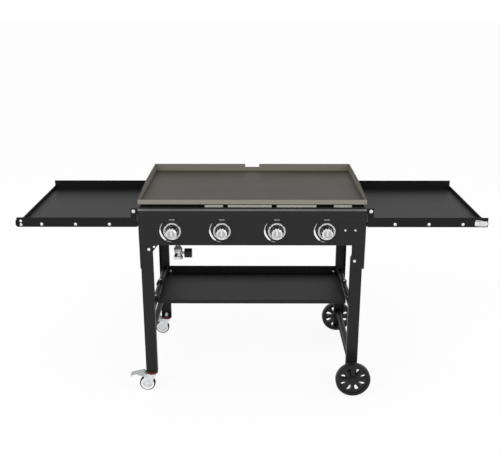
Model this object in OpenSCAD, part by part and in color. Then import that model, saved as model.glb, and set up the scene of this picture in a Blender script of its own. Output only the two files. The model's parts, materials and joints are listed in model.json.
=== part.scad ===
// Outdoor gas griddle station: a four-burner flat top on folding legs.
// Millimetres, Z up, X to the right, Y to the rear. The origin is on the floor, under the middle.

/* [Cooking plate] */
// Width of the cooking plate over its rims, and of the body under it
plate_w = 900; // [820:1:910]
// Depth of the cooking plate over its rims
plate_d = 555; // [500:1:560]
// Thickness of the cooking plate and its rims
plate_t = 4; // [3:0.5:5]
// Height of the cooking surface above the floor
plate_z = 830; // [829:0.5:832]
// Height of the front rim above the cooking surface
rim_front = 14; // [8:0.5:16]
// Height of the rear rim above the cooking surface
rim_rear = 31; // [26:0.5:32]
// Width of the grease notch in the rear rim
notch_w = 64; // [40:1:90]
// Height of the rear rim that stays under the grease notch
notch_rim = 17; // [8:0.5:18]

/* [Body] */
// Depth of the body over its leg brackets
body_d = 580; // [574:1:584]
// Height of the lower edge of the control panel
panel_z = 660; // [657:0.5:663]
// Height of the control panel
panel_h = 143; // [141:0.5:144]
// Thickness of the body sheets
sheet = 1.5; // [1:0.1:1.8]
// Depth of the panel's top flange
panel_flange = 34; // [20:1:38]
// Height of the firebox floor above the floor
firebox_z = 706; // [704:0.5:708]
// Gap between the firebox and the body sides
firebox_gap = 12; // [8:0.5:16]

/* [Burners and knobs] */
// Height of the knob axes above the floor
knob_z = 718.7; // [717:0.1:721]
// Distance of the first knob from the panel's left end
knob_left_in = 133.5; // [130:0.5:150]
// Distance of the last knob from the panel's right end
knob_right_in = 155.5; // [150:0.5:170]
// Distance between the two middle knobs
knob_middle = 217; // [205:1:230]
// Diameter of a knob's bezel
bezel_d = 70; // [60:1:76]
// Diameter of a knob's grip
knob_d = 43; // [36:0.5:50]
// Distance that a knob stands out of the panel
knob_reach = 40; // [30:0.5:40.5]
// Travel of a knob when it is pushed in
knob_push = 4; // [3:0.5:5]
// Diameter of a burner tube
burner_d = 24; // [18:0.5:28]
// Diameter of the gas manifold
manifold_d = 18; // [14:0.5:20]

/* [Side trays] */
// Length of a tray from its pivot to its free end
tray_l = 462; // [440:1:463]
// Gap between the body's front and a tray's front wall
tray_side_gap = 6; // [5:0.5:10]
// Height of the tray walls at the front and rear
tray_wall = 39; // [34:0.5:41]
// Height of the wall at the free end
tray_end_wall = 15; // [10:0.5:16]
// Height of the tray pivots above the floor
tray_pivot_z = 803.5; // [803:0.25:805]
// Height of the underside of an open tray
tray_z = 738; // [736:0.5:739]
// Distance of the tray pivots from the body's sides
tray_pivot_out = 15; // [14:0.5:20]
// Thickness of the tray sheet
tray_t = 1.5; // [1:0.1:2]

/* [Folding legs] */
// Width of a leg channel
leg_w = 47; // [42:0.5:48]
// Depth of a leg channel
leg_d = 25.5; // [22:0.5:26]
// Distance of the legs' outer faces from the body's sides
leg_in = 3; // [2.5:0.25:4]
// Height of the left legs' pivots
left_pivot_z = 643; // [642:0.5:645]
// Height of the right legs' pivots
right_pivot_z = 594; // [590:0.5:595]
// Distance of the left pivots from the legs' outer face
left_pivot_in = 35; // [34:0.5:36]
// Distance of the right pivots from the legs' outer face
right_pivot_in = 37; // [36:0.5:38]
// Height of the lower end of the left legs
left_leg_end = 90; // [86:0.5:92]
// Height of the lower end of the right legs
right_leg_end = 52; // [40:1:60]
// Setback of the right legs behind the leg brackets
right_leg_set = 32.5; // [32:0.25:33]
// Diameter of the cross tubes
tube_d = 25; // [20:0.5:26]
// Height of the upper cross tubes
upper_tube_z = 337.5; // [330:0.5:345]
// Height of the left lower cross tube
left_tube_z = 250; // [230:1:270]
// Height of the right lower cross tube
right_tube_z = 127; // [120:1:140]
// Length of the leg brackets below the panel
bracket_drop = 100; // [92:1:102]

/* [Wheels and casters] */
// Diameter of the two large wheels
wheel_d = 146; // [120:1:150]
// Width of the large wheels
wheel_w = 30; // [24:0.5:31]
// Number of openings in a large wheel
wheel_openings = 8; // [5:1:10]
// Diameter of the caster wheels
caster_d = 66; // [60:0.5:68]
// Width of the caster wheels
caster_w = 18; // [16:0.5:18.5]
// Trail of the casters
caster_trail = 22; // [16:0.5:24]

/* [Bottom shelf] */
// Gap between the shelf tray and the legs at each side
shelf_side_gap = 2; // [1:0.5:10]
// Depth of the shelf tray
shelf_d = 356; // [320:1:380]
// Height of the underside of the shelf
shelf_z = 358; // [357.8:0.1:359]
// Height of the shelf's front and side lips
shelf_lip = 17; // [12:0.5:20]
// Height of the shelf's rear wall
shelf_wall = 36; // [24:0.5:37]

/* [Handles] */
// Diameter of the carry handles
handle_d = 20; // [16:0.5:20]
// Distance that a handle stands out of the body
handle_reach = 105; // [80:1:120]
// Distance of a handle's ends from the leg brackets
handle_in = 10; // [7:1:52]
// Bend radius of a handle, to the middle of the tube
handle_bend = 60; // [30:1:75]

/* [Gas regulator] */
// Distance of the regulator from the body's left side
regulator_in = 147; // [144:1:150]
// Diameter of the regulator body
regulator_d = 30; // [28:0.5:32]
// Length of the regulator body
regulator_l = 55; // [50:1:60]
// Bore of the gas cylinder socket
socket_d = 25.4; // [24:0.1:26]
// Depth of the gas cylinder socket
socket_l = 14; // [10:0.5:18]

/* [Hidden] */
$fn = 48;

// Clearances: a face that another piece rests on, a running fit, a free gap, a cutting overrun
seat = 0.3;
run = 0.1;
gap = 1;
cut = 1;

// Planes of the body, worked out from its driving sizes
body_w = plate_w;
body_x = body_w / 2;
face_y = -body_d / 2;
panel_top = panel_z + panel_h;
plate_under = plate_z - plate_t;

// Leg brackets
bracket_w = 53;
bracket_d = 58;
bracket_bottom = panel_z - bracket_drop;
bracket_top = panel_top - 2 * sheet;
web_y = face_y + sheet;

// Legs: the plane of each web, the pivots, the axis of the cross tubes
leg_sheet = sheet;
leg_gap = 1;
leg_x = body_x - leg_in;
left_web_y = web_y + leg_gap;
right_web_y = face_y + right_leg_set;
left_pivot_x = leg_x - left_pivot_in;
right_pivot_x = leg_x - right_pivot_in;
leg_mid_x = leg_x - leg_w / 2;
leg_top_over = 14;
pivot_bolt_r = 4;
pivot_head_r = 6;
pivot_head_l = 4;
pivot_nut_r = 7;
pivot_nut_l = 4;
tube_r = tube_d / 2;

// Side panels and back panel
side_d = body_d - 2 * bracket_d;
side_z = firebox_z - sheet - seat;
side_ledge = 26;
back_in = 40;
back_y = body_d / 2 - back_in;

// Firebox
firebox_top = plate_under - seat;
firebox_w = body_w - 2 * sheet - 2 * firebox_gap;
firebox_in = 54;
firebox_d = body_d - 2 * firebox_in;
firebox_flange = 10;

// Wind guard on the panel's top flange: four runs with gaps between them, behind a low lip
guard_h = 15;
guard_gap = 20;
guard_middle = 173;
guard_left = 72;
guard_right = 157;
guard_shift = -9.5;
guard_t = 1;
guard_inset = 5;
guard_end = 71;
guard_end_gap = 69;
guard_lip = 6;

// Knobs, spindles and valves
knob_count = 4;
knob_pitch = (body_w - knob_left_in - knob_right_in - knob_middle) / 2;
knob_shift = (knob_left_in - knob_right_in) / 2;
spindle_r = 4;
valve_w = 22;
valve_h = 28;
valve_d = 24;
valve_gap = 4;
panel_hole_r = 9;
bezel_lip = 6.5;
bezel_rim = 3.5;
bezel_floor = 1.5;
bezel_notch_r = 4;
bezel_notches = 4;
knob_skirt_r = 17;
knob_back = 12;
knob_flutes = 12;
knob_flute_r = 2;
crown_r = 3;
face_lip = 1.5;
face_sink = 2;
grip_bar_w = 7;
grip_bar_low = 8;
spindle_seat = 10;
boss_r = 7;
neck_r = 8;
jet_r = 3;
neck_l = 28;
burner_foot = 6;
burner_rise = 6;
burner_rear = 26;
manifold_r = manifold_d / 2;
manifold_over = 26;
feed_r = 6;

// Regulator: its plane lies between the folded legs and the shelf
regulator_x = -body_x + regulator_in;
regulator_back = 68;
regulator_y = face_y + regulator_back;
regulator_top = 633;
wheel_knob_r = 19;
wheel_knob_l = 30;
wheel_stem_r = 3;
wheel_stem_l = 8;
regulator_arm_r = 6;
regulator_arm_l = 8;
wheel_knob_flutes = 10;
wheel_flute_r = 3;
regulator_arm_z = 30;
cap_h = 10;
cap_r = 18;

// Blank plate and screws on the panel
blank_w = 94;
blank_h = 64;
blank_in = 62;
blank_x = body_x - blank_in;
blank_z = 723;
blank_t = 1.5;
blank_screw_gap = 40;
blank_corner = 2;
screw_r = 2.5;
screw_head_r = 4.5;
screw_head_l = 2.5;

// Handles
handle_r = handle_d / 2;
handle_span = side_d - 2 * handle_in;
handle_z = tray_z - seat - handle_r;
handle_foot_r = 17;
handle_foot_t = 3;
handle_bolt_z = 13;

// Tray hinges
tray_pivot_x = body_x + tray_pivot_out;
tray_d = body_d + 2 * tray_side_gap;
ear_w = 23;
ear_over = 10;
ear_y = tray_d / 2;
hinge_bolt_r = 4;
hinge_head_r = 7;
hinge_head_l = 3.5;
hinge_bracket_t = 1.5;
hinge_bracket_l = 28;
hinge_bracket_h = 28;
tray_edge = 3;
tray_hem = 4;
tray_screw_pitch = 133.5;
tray_screw_z = 11;
tray_screw_mid = 231;
tray_screw_r = 6;

// Latch on the front walls of the trays
latch_z = tray_z + 17;
latch_t = 1.5;
latch_base_l = 26;
latch_base_h = 24;
latch_from_end = 50;
latch_pivot_r = 2;
latch_pivot_out = 5;
lever_l = 24;
lever_h = 15;
lever_t = 1.5;
loop_r = 1.2;
loop_h = 9;
loop_l = 37;
loop_t = 2.6;
loop_tongue_l = 10;
loop_tongue_h = 8;
knuckle_r = 2.8;
keeper_l = 22;
keeper_h = 26;
keeper_out = 3;
keeper_hook = 5;
keeper_rivet_r = 5.5;
keeper_rivet_in = 16.5;
keeper_rivet_up = 7.5;

// Grease cup and its runners behind the body
cup_w = 116;
cup_d = 60;
cup_h = 60;
cup_t = 1;
cup_corner = 12;
cup_rim = 6;
cup_gap = 6;
runner_t = 3;
runner_w = 10;
runner_drop = 7;

// Shelf: saddles on the left upper tube and hooks over the saddles
shelf_w = 2 * (leg_x - leg_w - shelf_side_gap);
saddle_r = 16;
saddle_drop = 6;
saddle_w = 36;
hook_t = 2;
hook_w = 30;
hook_y = 93;
tab_w = 30;
tab_t = 3;
tab_reach = 38;
shelf_sheet = 1.5;
shelf_gap = 0.4;
shelf_screw_in = 14;
shelf_screw_up = 8;

// Casters
stem_r = 6;
stem_nut_r = 9.5;
stem_nut_h = 9;
stem_washer = 2.5;
cover_r = 24;
cover_h = 7;
stem_head_h = 3;
fork_plate_r = 20;
fork_plate_t = 3;
fork_cheek_t = 2;
fork_cheek_r = 15;
fork_left = 34;
fork_right = 18;
fork_gap = 1.5;
core_r = 28;
hub_r = 8;
caster_axle_r = 4;
pedal_t = 3.5;
pedal_pin_r = 3;
pedal_pin_x = 29;
pedal_pin_z = 9;
pedal_in = 4;
pedal_out = 62;
pedal_high = 17;
pedal_low = 3;
pedal_arm = 34;
pedal_lip = 8;

// Large wheels and their axle
axle_r = 5;
hub_cap_r = 15;
hub_cap_l = 3;
wheel_gap = 9;
wheel_hub_r = 18;
tread = 13;
wheel_dish = 5;
opening_r = 9;
opening_tip_r = 4;
opening_len = 20;

caster_r = caster_d / 2;
wheel_r = wheel_d / 2;
wheel_y = body_d / 2 + wheel_gap;
caster_y = -(left_web_y + leg_d / 2 + leg_sheet / 2);
caster_x = leg_mid_x;
cover_z = left_leg_end - cover_h;
fork_z = cover_z - seat;

function knob_x(i) = knob_shift + (i < 2 ? -1 : 1) * (knob_middle / 2 + (i == 0 || i == 3 ? knob_pitch : 0));

// A box between two corners
module block(x0, x1, y0, y1, z0, z1) {
    translate([x0, y0, z0]) cube([x1 - x0, y1 - y0, z1 - z0]);
}

// Straight rods along the three axes
module rod_x(x0, x1, y, z, r) {
    translate([x0, y, z]) rotate([0, 90, 0]) cylinder(h = x1 - x0, r = r);
}
module rod_y(x, y0, y1, z, r) {
    translate([x, y0, z]) rotate([-90, 0, 0]) cylinder(h = y1 - y0, r = r);
}
module rod_z(x, y, z0, z1, r) {
    translate([x, y, z0]) cylinder(h = z1 - z0, r = r);
}

// A drawing in X and Z, made into a plate from y0 to the rear
module plate_xz(y0, t) {
    translate([0, y0 + t, 0]) rotate([90, 0, 0]) linear_extrude(t) children();
}

// A drawing in Y and Z, made into a plate from x0 to the right
module plate_yz(x0, t) {
    translate([x0, 0, 0]) rotate([90, 0, 90]) linear_extrude(t) children();
}

module rounded(w, h, r) {
    translate([-w / 2 + r, -h / 2 + r]) offset(r) square([w - 2 * r, h - 2 * r]);
}

// The same piece at the front and the rear, or at the left and the right
module front_and_rear() {
    children();
    mirror([0, 1, 0]) children();
}
module left_and_right() {
    mirror([1, 0, 0]) children();
    children();
}

// A hexagon nut along Y
module nut_y(x, y0, z, r, l) {
    translate([x, y0 + l, z]) rotate([90, 0, 0]) cylinder(h = l, r = r, $fn = 6);
}

module control_panel() {
    lip_y = face_y + panel_flange - guard_inset;
    color([0.17, 0.17, 0.17]) difference() {
        union() {
            block(-body_x, body_x, face_y - sheet, face_y, panel_z, panel_top);
            block(-body_x, body_x, face_y - sheet, face_y + panel_flange, panel_top - sheet, panel_top);
            block(-body_x + sheet, body_x - sheet, lip_y - sheet, lip_y, panel_top - sheet, panel_top + guard_lip);
        }
        for (i = [0:knob_count - 1])
            rod_y(knob_x(i), face_y - sheet - cut, face_y + cut, knob_z, panel_hole_r);
    }
}

module side_panel() {
    color([0.17, 0.17, 0.17]) difference() {
        union() {
            block(body_x - sheet, body_x, -side_d / 2 + seat, side_d / 2 - seat, side_z, panel_top);
            block(body_x - side_ledge, body_x, -side_d / 2 + seat, side_d / 2 - seat, side_z, side_z + sheet);
        }
        for (s = [-1, 1])
            rod_x(body_x - sheet - cut, body_x + cut, s * handle_span / 2, handle_z, screw_r + run);
    }
}

module back_panel() {
    rail_z = panel_top - 2 * sheet - runner_t;
    color([0.17, 0.17, 0.17]) {
        block(-body_x + sheet + seat, body_x - sheet - seat, back_y, back_y + sheet, side_z, panel_top);
        for (s = [-1, 1])
            translate([s * (cup_w / 2 + cup_gap / 2), 0, 0]) {
                block(-runner_w / 2, runner_w / 2, back_y + sheet, back_y + sheet + cup_gap + cup_d,
                    rail_z - runner_drop, rail_z - runner_drop + sheet);
                block(s > 0 ? runner_w / 2 - sheet : -runner_w / 2, s > 0 ? runner_w / 2 : -runner_w / 2 + sheet,
                    back_y + sheet, back_y + sheet + cup_gap + cup_d, rail_z - runner_drop, rail_z);
            }
    }
}

module leg_bracket() {
    color([0.17, 0.17, 0.17]) difference() {
        union() {
            block(body_x - bracket_w, body_x, face_y + seat, web_y, bracket_bottom, bracket_top);
            block(body_x - sheet, body_x, face_y + seat, face_y + bracket_d, bracket_bottom, bracket_top);
        }
        children();
    }
}

module front_leg_brackets() {
    mirror([1, 0, 0]) leg_bracket()
        rod_y(left_pivot_x, face_y - cut, web_y + cut, left_pivot_z, pivot_bolt_r + run);
    leg_bracket()
        rod_y(right_pivot_x, face_y - cut, web_y + cut, right_pivot_z, pivot_bolt_r + run);
}

module firebox() {
    fx = firebox_w / 2;
    fy = firebox_d / 2;
    color([0.22, 0.22, 0.22]) difference() {
        union() {
            block(-fx, fx, -fy, fy, firebox_z, firebox_top);
            block(-fx - firebox_flange, fx + firebox_flange, -fy - firebox_flange, fy + firebox_flange,
                firebox_top - sheet, firebox_top);
        }
        block(-fx + sheet, fx - sheet, -fy + sheet, fy - sheet, firebox_z + sheet, firebox_top + cut);
        for (i = [0:knob_count - 1])
            rod_y(knob_x(i), -fy - cut, -fy + sheet + cut, knob_z, neck_r + run);
    }
}

module wind_guard() {
    y0 = face_y + panel_flange - guard_inset;
    z1 = panel_top + seat + guard_h;
    left_end = -guard_middle / 2 - guard_gap;
    right_end = guard_middle / 2 + guard_gap;
    end_x = right_end + guard_right + guard_end_gap;
    color([0.72, 0.71, 0.68]) translate([guard_shift, 0, 0]) {
        block(-guard_middle / 2, guard_middle / 2, y0, y0 + guard_t, panel_top, z1);
        block(left_end - guard_left, left_end, y0, y0 + guard_t, panel_top, z1);
        block(right_end, right_end + guard_right, y0, y0 + guard_t, panel_top, z1);
        block(end_x, end_x + guard_end, y0, y0 + guard_t, panel_top, z1);
    }
}

// One tube burner: a neck through the firebox wall, the tube and its rear foot
module burner() {
    y0 = -firebox_d / 2;
    tube_y0 = y0 + neck_l;
    tube_y1 = firebox_d / 2 - burner_rear;
    floor_z = firebox_z + sheet;
    difference() {
        union() {
            rod_y(0, y0 - neck_l / 2, tube_y0 + burner_foot, knob_z, neck_r);
            rod_y(0, tube_y0, tube_y1, knob_z + burner_rise, burner_d / 2);
            block(-burner_d / 2, burner_d / 2, tube_y1 - burner_foot, tube_y1, floor_z, knob_z + burner_rise);
        }
        rod_y(0, y0 - neck_l / 2 - cut, y0, knob_z, jet_r + gap);
    }
}

module burners() {
    color([0.55, 0.54, 0.52]) for (i = [0:knob_count - 1]) translate([knob_x(i), 0, 0]) burner();
}

valve_y = face_y + valve_gap;
valve_z = knob_z - valve_h / 2;
valve_mid_y = valve_y + valve_d / 2;
manifold_y = valve_y + valve_d + 2 * valve_gap + manifold_r;
manifold_z = valve_z - manifold_r - boss_r / 2;

module gas_manifold() {
    x0 = knob_x(0) - manifold_over;
    x1 = knob_x(knob_count - 1) + manifold_over;
    color([0.62, 0.61, 0.58]) {
        rod_x(x0, x1, manifold_y, manifold_z, manifold_r);
        for (i = [0:knob_count - 1]) translate([knob_x(i), 0, 0]) {
            rod_z(0, valve_mid_y, manifold_z, valve_z, boss_r);
            rod_y(0, valve_mid_y, manifold_y, manifold_z, boss_r);
            translate([0, valve_mid_y, manifold_z]) sphere(r = boss_r);
        }
        rod_y(regulator_x, manifold_y, regulator_y, manifold_z, feed_r);
        rod_z(regulator_x, regulator_y, regulator_top, manifold_z, feed_r);
        translate([regulator_x, regulator_y, manifold_z]) sphere(r = feed_r);
    }
}

module gas_valves() {
    color([0.75, 0.65, 0.38]) for (i = [0:knob_count - 1]) translate([knob_x(i), 0, 0]) difference() {
        union() {
            block(-valve_w / 2, valve_w / 2, valve_y, valve_y + valve_d, valve_z, valve_z + valve_h);
            rod_y(0, valve_y + valve_d, -firebox_d / 2 - neck_l / 2 + valve_gap, knob_z, jet_r);
        }
        rod_y(0, valve_y - cut, valve_y + spindle_seat, knob_z, spindle_r + run);
    }
}

// A fluted grip along Y, from y0 to the rear
module fluted_y(y0, l, r, flutes, flute_r) {
    plate_xz(y0, l) difference() {
        circle(r);
        for (a = [0:flutes - 1]) rotate(a * 360 / flutes) translate([r, 0]) circle(flute_r);
    }
}

module regulator_body() {
    z0 = regulator_top - regulator_l;
    r = regulator_d / 2;
    arm_z = regulator_top - regulator_arm_z;
    translate([regulator_x, regulator_y, 0]) color([0.74, 0.73, 0.7]) difference() {
        union() {
            rod_z(0, 0, z0, regulator_top - cap_h, r);
            rod_z(0, 0, regulator_top - 2 * cap_h, regulator_top - cap_h, cap_r);
            translate([0, 0, regulator_top - cap_h]) cylinder(h = cap_h, r1 = cap_r, r2 = feed_r + cap_h / 2);
            rod_x(0, cap_r + regulator_arm_l, 0, arm_z, regulator_arm_r);
        }
        rod_z(0, 0, z0 - cut, z0 + socket_l, socket_d / 2);
        rod_x(cap_r + regulator_arm_l - wheel_stem_l, cap_r + regulator_arm_l + cut, 0, arm_z, wheel_stem_r + run);
    }
}

// The hand wheel turns on a pin that runs into the regulator's arm
module regulator_wheel() {
    x0 = cap_r + regulator_arm_l + seat;
    color([0.08, 0.08, 0.08]) translate([regulator_x, regulator_y, regulator_top - regulator_arm_z]) {
        rod_x(x0 - wheel_stem_l, x0 + wheel_stem_l, 0, 0, wheel_stem_r);
        rotate([0, 0, 90])
            fluted_y(-x0 - wheel_knob_l, wheel_knob_l, wheel_knob_r, wheel_knob_flutes, wheel_flute_r);
    }
}

module knob_bezels() {
    y0 = face_y - sheet;
    r = bezel_d / 2;
    color([0.8, 0.8, 0.8]) for (i = [0:knob_count - 1]) translate([knob_x(i), y0, knob_z]) difference() {
        rotate([90, 0, 0]) rotate_extrude($fn = 72) polygon([
            [panel_hole_r, 0],
            [r - bezel_rim / 2, 0],
            [r, bezel_floor],
            [r - bezel_rim / 2, bezel_lip],
            [r - bezel_rim, bezel_lip],
            [r - 2 * bezel_rim, bezel_floor],
            [panel_hole_r, bezel_floor]
        ]);
        for (k = [0:bezel_notches - 1]) rotate([0, (k + 1 / 2) * 360 / bezel_notches, 0])
            rod_y(0, -bezel_lip - cut, cut, r + gap, bezel_notch_r);
    }
}

module spindle(i) {
    color([0.7, 0.7, 0.68])
        rod_y(knob_x(i), face_y - sheet - knob_reach + crown_r + gap + knob_push + seat,
            valve_y + spindle_seat - seat, knob_z, spindle_r);
}

// Knob: a skirt, a fluted grip and a crown with a sunk face and a grip bar, bored for the spindle
module knob(i) {
    tip = face_y - sheet - knob_reach;
    back = face_y - sheet - bezel_floor - knob_push - gap;
    crown = knob_d / 2 - knob_flute_r - crown_r;
    face_r = crown - face_lip;
    color([0.82, 0.82, 0.82]) translate([knob_x(i), 0, knob_z]) {
        difference() {
            union() {
                rod_y(0, back - knob_back, back, 0, knob_skirt_r);
                fluted_y(tip + crown_r, back - knob_back - tip - crown_r, knob_d / 2, knob_flutes, knob_flute_r);
                translate([0, tip + crown_r, 0]) rotate([90, 0, 0])
                    cylinder(h = crown_r, r1 = crown + crown_r, r2 = crown);
            }
            rod_y(0, tip - cut, tip + face_sink, 0, face_r);
            rod_y(0, tip + crown_r + gap, back + cut, 0, spindle_r + run);
        }
        block(-grip_bar_w / 2, grip_bar_w / 2, tip, tip + crown_r, -grip_bar_low, face_r - face_lip / 2);
    }
}

module blank_plate() {
    color([0.15, 0.15, 0.15]) difference() {
        translate([blank_x, 0, blank_z]) plate_xz(face_y - sheet - blank_t, blank_t)
            rounded(blank_w, blank_h, blank_corner);
        for (s = [-1, 1])
            rod_y(blank_x + s * blank_screw_gap / 2, face_y - sheet - blank_t - cut, face_y, blank_z, screw_r + run);
    }
}

// A screw along Y with its round head in front of y
module screw_front(x, y, z, l) {
    rod_y(x, y, y + l, z, screw_r);
    translate([x, y, z]) rotate([90, 0, 0]) cylinder(h = screw_head_l, r1 = screw_head_r, r2 = screw_r);
}

module body_screws() {
    color([0.85, 0.85, 0.84]) {
        for (s = [-1, 1])
            screw_front(blank_x + s * blank_screw_gap / 2, face_y - sheet - blank_t, blank_z, blank_t);
        left_and_right() for (s = [-1, 1]) {
            rod_x(body_x - sheet, body_x + seat, s * handle_span / 2, handle_z, screw_r);
            rod_x(body_x - sheet - screw_head_l, body_x - sheet, s * handle_span / 2, handle_z, screw_head_r);
        }
    }
}

// Carry handle: two straight ends, two bends and a long grip
module handle() {
    x1 = body_x + handle_reach - handle_r;
    y1 = handle_span / 2;
    color([0.1, 0.1, 0.1]) {
        for (s = [-1, 1]) {
            rod_x(body_x + seat, x1 - handle_bend, s * y1, handle_z, handle_r);
            rod_x(body_x + seat, body_x + seat + handle_foot_t, s * y1, handle_z, handle_foot_r);
        }
        rod_y(x1, -y1 + handle_bend, y1 - handle_bend, handle_z, handle_r);
        translate([x1 - handle_bend, y1 - handle_bend, handle_z])
            rotate_extrude(angle = 90) translate([handle_bend, 0]) circle(handle_r);
        translate([x1 - handle_bend, -y1 + handle_bend, handle_z])
            rotate([0, 0, -90]) rotate_extrude(angle = 90) translate([handle_bend, 0]) circle(handle_r);
    }
}

module tray_hinge_brackets() {
    x1 = tray_pivot_x + ear_w / 2;
    color([0.17, 0.17, 0.17]) left_and_right() front_and_rear() difference() {
        union() {
            block(body_x + seat, x1, face_y - hinge_bracket_t, face_y, tray_pivot_z - hinge_bracket_h / 2,
                tray_pivot_z + ear_over);
            block(body_x + seat, body_x + seat + hinge_bracket_t, face_y - hinge_bracket_t,
                face_y + hinge_bracket_l, tray_pivot_z - hinge_bracket_h, panel_top);
        }
        rod_y(tray_pivot_x, face_y - hinge_bracket_t - cut, face_y + cut, tray_pivot_z, hinge_bolt_r + run);
    }
}

module tray_pivot_bolts() {
    y0 = -ear_y;
    collar_y = -ear_y + tray_t + seat;
    color([0.8, 0.8, 0.79]) left_and_right() front_and_rear() {
        rod_y(tray_pivot_x, y0 - seat, face_y + hinge_head_l, tray_pivot_z, hinge_bolt_r);
        rod_y(tray_pivot_x, y0 - seat - hinge_head_l, y0 - seat, tray_pivot_z, hinge_head_r);
        rod_y(tray_pivot_x, collar_y, face_y - hinge_bracket_t, tray_pivot_z, hinge_head_r);
        nut_y(tray_pivot_x, face_y, tray_pivot_z, hinge_head_r, hinge_head_l);
    }
}

// Pivot bolt of one leg: head, shank, a spacer in front of the leg and a nut behind it
module leg_bolt(x, z, leg_y) {
    rod_y(x, face_y + seat - pivot_head_l, face_y + seat, z, pivot_head_r);
    rod_y(x, face_y, leg_y + leg_sheet + seat, z, pivot_bolt_r);
    rod_y(x, web_y, leg_y - seat, z, pivot_nut_r);
    nut_y(x, leg_y + leg_sheet + seat, z, pivot_nut_r, pivot_nut_l);
}

module leg_pivot_bolts() {
    color([0.88, 0.88, 0.87]) front_and_rear() {
        leg_bolt(-left_pivot_x, left_pivot_z, left_web_y);
        leg_bolt(right_pivot_x, right_pivot_z, right_web_y);
    }
}

module grease_cup() {
    y0 = back_y + sheet + cup_gap;
    z1 = panel_top - 2 * sheet - runner_t - runner_drop + sheet + seat;
    color([0.6, 0.6, 0.59]) translate([0, y0 + cup_d / 2, 0]) difference() {
        union() {
            translate([0, 0, z1 - cup_h]) linear_extrude(cup_h) rounded(cup_w - cup_gap, cup_d, cup_corner);
            block(-cup_w / 2 - cup_gap / 2, cup_w / 2 + cup_gap / 2, -cup_d / 2, cup_d / 2, z1, z1 + cup_t);
        }
        translate([0, 0, z1 - cup_h + cup_t]) linear_extrude(cup_h + cut)
            rounded(cup_w - cup_gap - 2 * cup_t, cup_d - 2 * cup_t, cup_corner - cup_t);
    }
}

// Cooking plate: the flat, a low front rim, a high rear rim with a notch, side rims that step down
module griddle_plate() {
    px = plate_w / 2;
    py = plate_d / 2;
    front_z = plate_z + rim_front;
    rear_z = plate_z + rim_rear;
    high_rim_share = 0.604;
    color([0.33, 0.32, 0.29]) difference() {
        union() {
            block(-px, px, -py, py, plate_under, plate_z);
            block(-px, px, -py, -py + plate_t, plate_under, front_z);
            block(-px, px, py - plate_t, py, plate_under, rear_z);
            for (x = [-px, px - plate_t]) plate_yz(x, plate_t) polygon([
                [-py, plate_under],
                [py, plate_under],
                [py, rear_z],
                [py - plate_d * high_rim_share, rear_z],
                [-py, front_z]
            ]);
        }
        block(-notch_w / 2, notch_w / 2, py - plate_t - cut, py + cut, plate_z + notch_rim, rear_z + cut);
    }
}

// Tray on the left: floor, front and rear walls with hinge ears, a low wall with a hem at the free end
module tray() {
    x0 = -tray_pivot_x - tray_l;
    x1 = -tray_pivot_x + tray_edge;
    ear_x = -tray_pivot_x + ear_w / 2;
    z1 = tray_z + tray_wall;
    color([0.14, 0.14, 0.14]) {
        block(x0, x1, -ear_y, ear_y, tray_z, tray_z + tray_t);
        block(x0, x0 + tray_t, -ear_y, ear_y, tray_z, tray_z + tray_end_wall);
        block(x0, x0 + tray_hem, -ear_y + tray_t, ear_y - tray_t, tray_z + tray_end_wall - tray_t,
            tray_z + tray_end_wall);
        front_and_rear() difference() {
            union() {
                block(x0, ear_x, -ear_y, -ear_y + tray_t, tray_z, z1);
                plate_xz(-ear_y, tray_t) hull() {
                    translate([ear_x - ear_w, z1 - tray_wall / 2]) square([ear_w, cut]);
                    translate([-tray_pivot_x, tray_pivot_z]) circle(ear_w / 2);
                }
            }
            rod_y(-tray_pivot_x, -ear_y - cut, -ear_y + tray_t + cut, tray_pivot_z, hinge_bolt_r + run);
        }
    }
}

// Three screws in the front wall of a tray
module tray_screws() {
    mid = -tray_pivot_x - tray_screw_mid;
    color([0.88, 0.88, 0.87]) for (i = [-1:1])
        translate([mid + i * tray_screw_pitch, -ear_y, tray_z + tray_screw_z]) {
            rotate([90, 0, 0]) cylinder(h = screw_head_l, r1 = tray_screw_r, r2 = screw_r);
            rod_y(0, tray_t, tray_t + screw_head_l, 0, screw_head_r);
        }
}

// The keeper's two rivets count among the left tray's screws
module left_tray_screws() {
    tray_screws();
    color([0.88, 0.88, 0.87]) for (s = [-1, 1])
        translate([-tray_pivot_x - tray_l + keeper_rivet_in, -ear_y - latch_t, latch_z + s * keeper_rivet_up])
            rotate([90, 0, 0]) cylinder(h = screw_head_l, r1 = keeper_rivet_r, r2 = screw_r);
}

module latch_keeper() {
    x0 = -tray_pivot_x - tray_l;
    z0 = latch_z - keeper_h / 2;
    color([0.14, 0.14, 0.14]) {
        block(x0 - keeper_out, x0 + keeper_l, -ear_y - latch_t, -ear_y, z0, z0 + keeper_h);
        block(x0 - keeper_out, x0 - keeper_out + latch_t, -ear_y - latch_t - keeper_hook, -ear_y,
            z0 + keeper_hook, z0 + keeper_h - keeper_hook);
    }
}

// The latch lies on the right tray: base, lever on a pin, wire loop on the lever
latch_x = tray_pivot_x + tray_l - latch_from_end;
latch_pin_x = latch_x + latch_base_l - latch_pivot_out;
latch_pin_y = -ear_y - latch_t - latch_pivot_out + latch_pivot_r;
loop_pin_x = latch_pin_x - latch_pivot_out;
loop_pin_y = latch_pin_y - latch_pivot_r - knuckle_r + lever_t / 2;

module latch_base() {
    z0 = latch_z - latch_base_h / 2;
    z1 = latch_z + latch_base_h / 2;
    color([0.8, 0.8, 0.78]) {
        block(latch_x, latch_x + latch_base_l, -ear_y - latch_t, -ear_y, z0, z1);
        for (z = [z0, z1 - latch_t])
            block(latch_pin_x - latch_pivot_out / 2, latch_pin_x + latch_pivot_out / 2,
                latch_pin_y - latch_pivot_r, -ear_y, z, z + latch_t);
        rod_z(latch_pin_x, latch_pin_y, z0, z1, latch_pivot_r / 2);
    }
}

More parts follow.
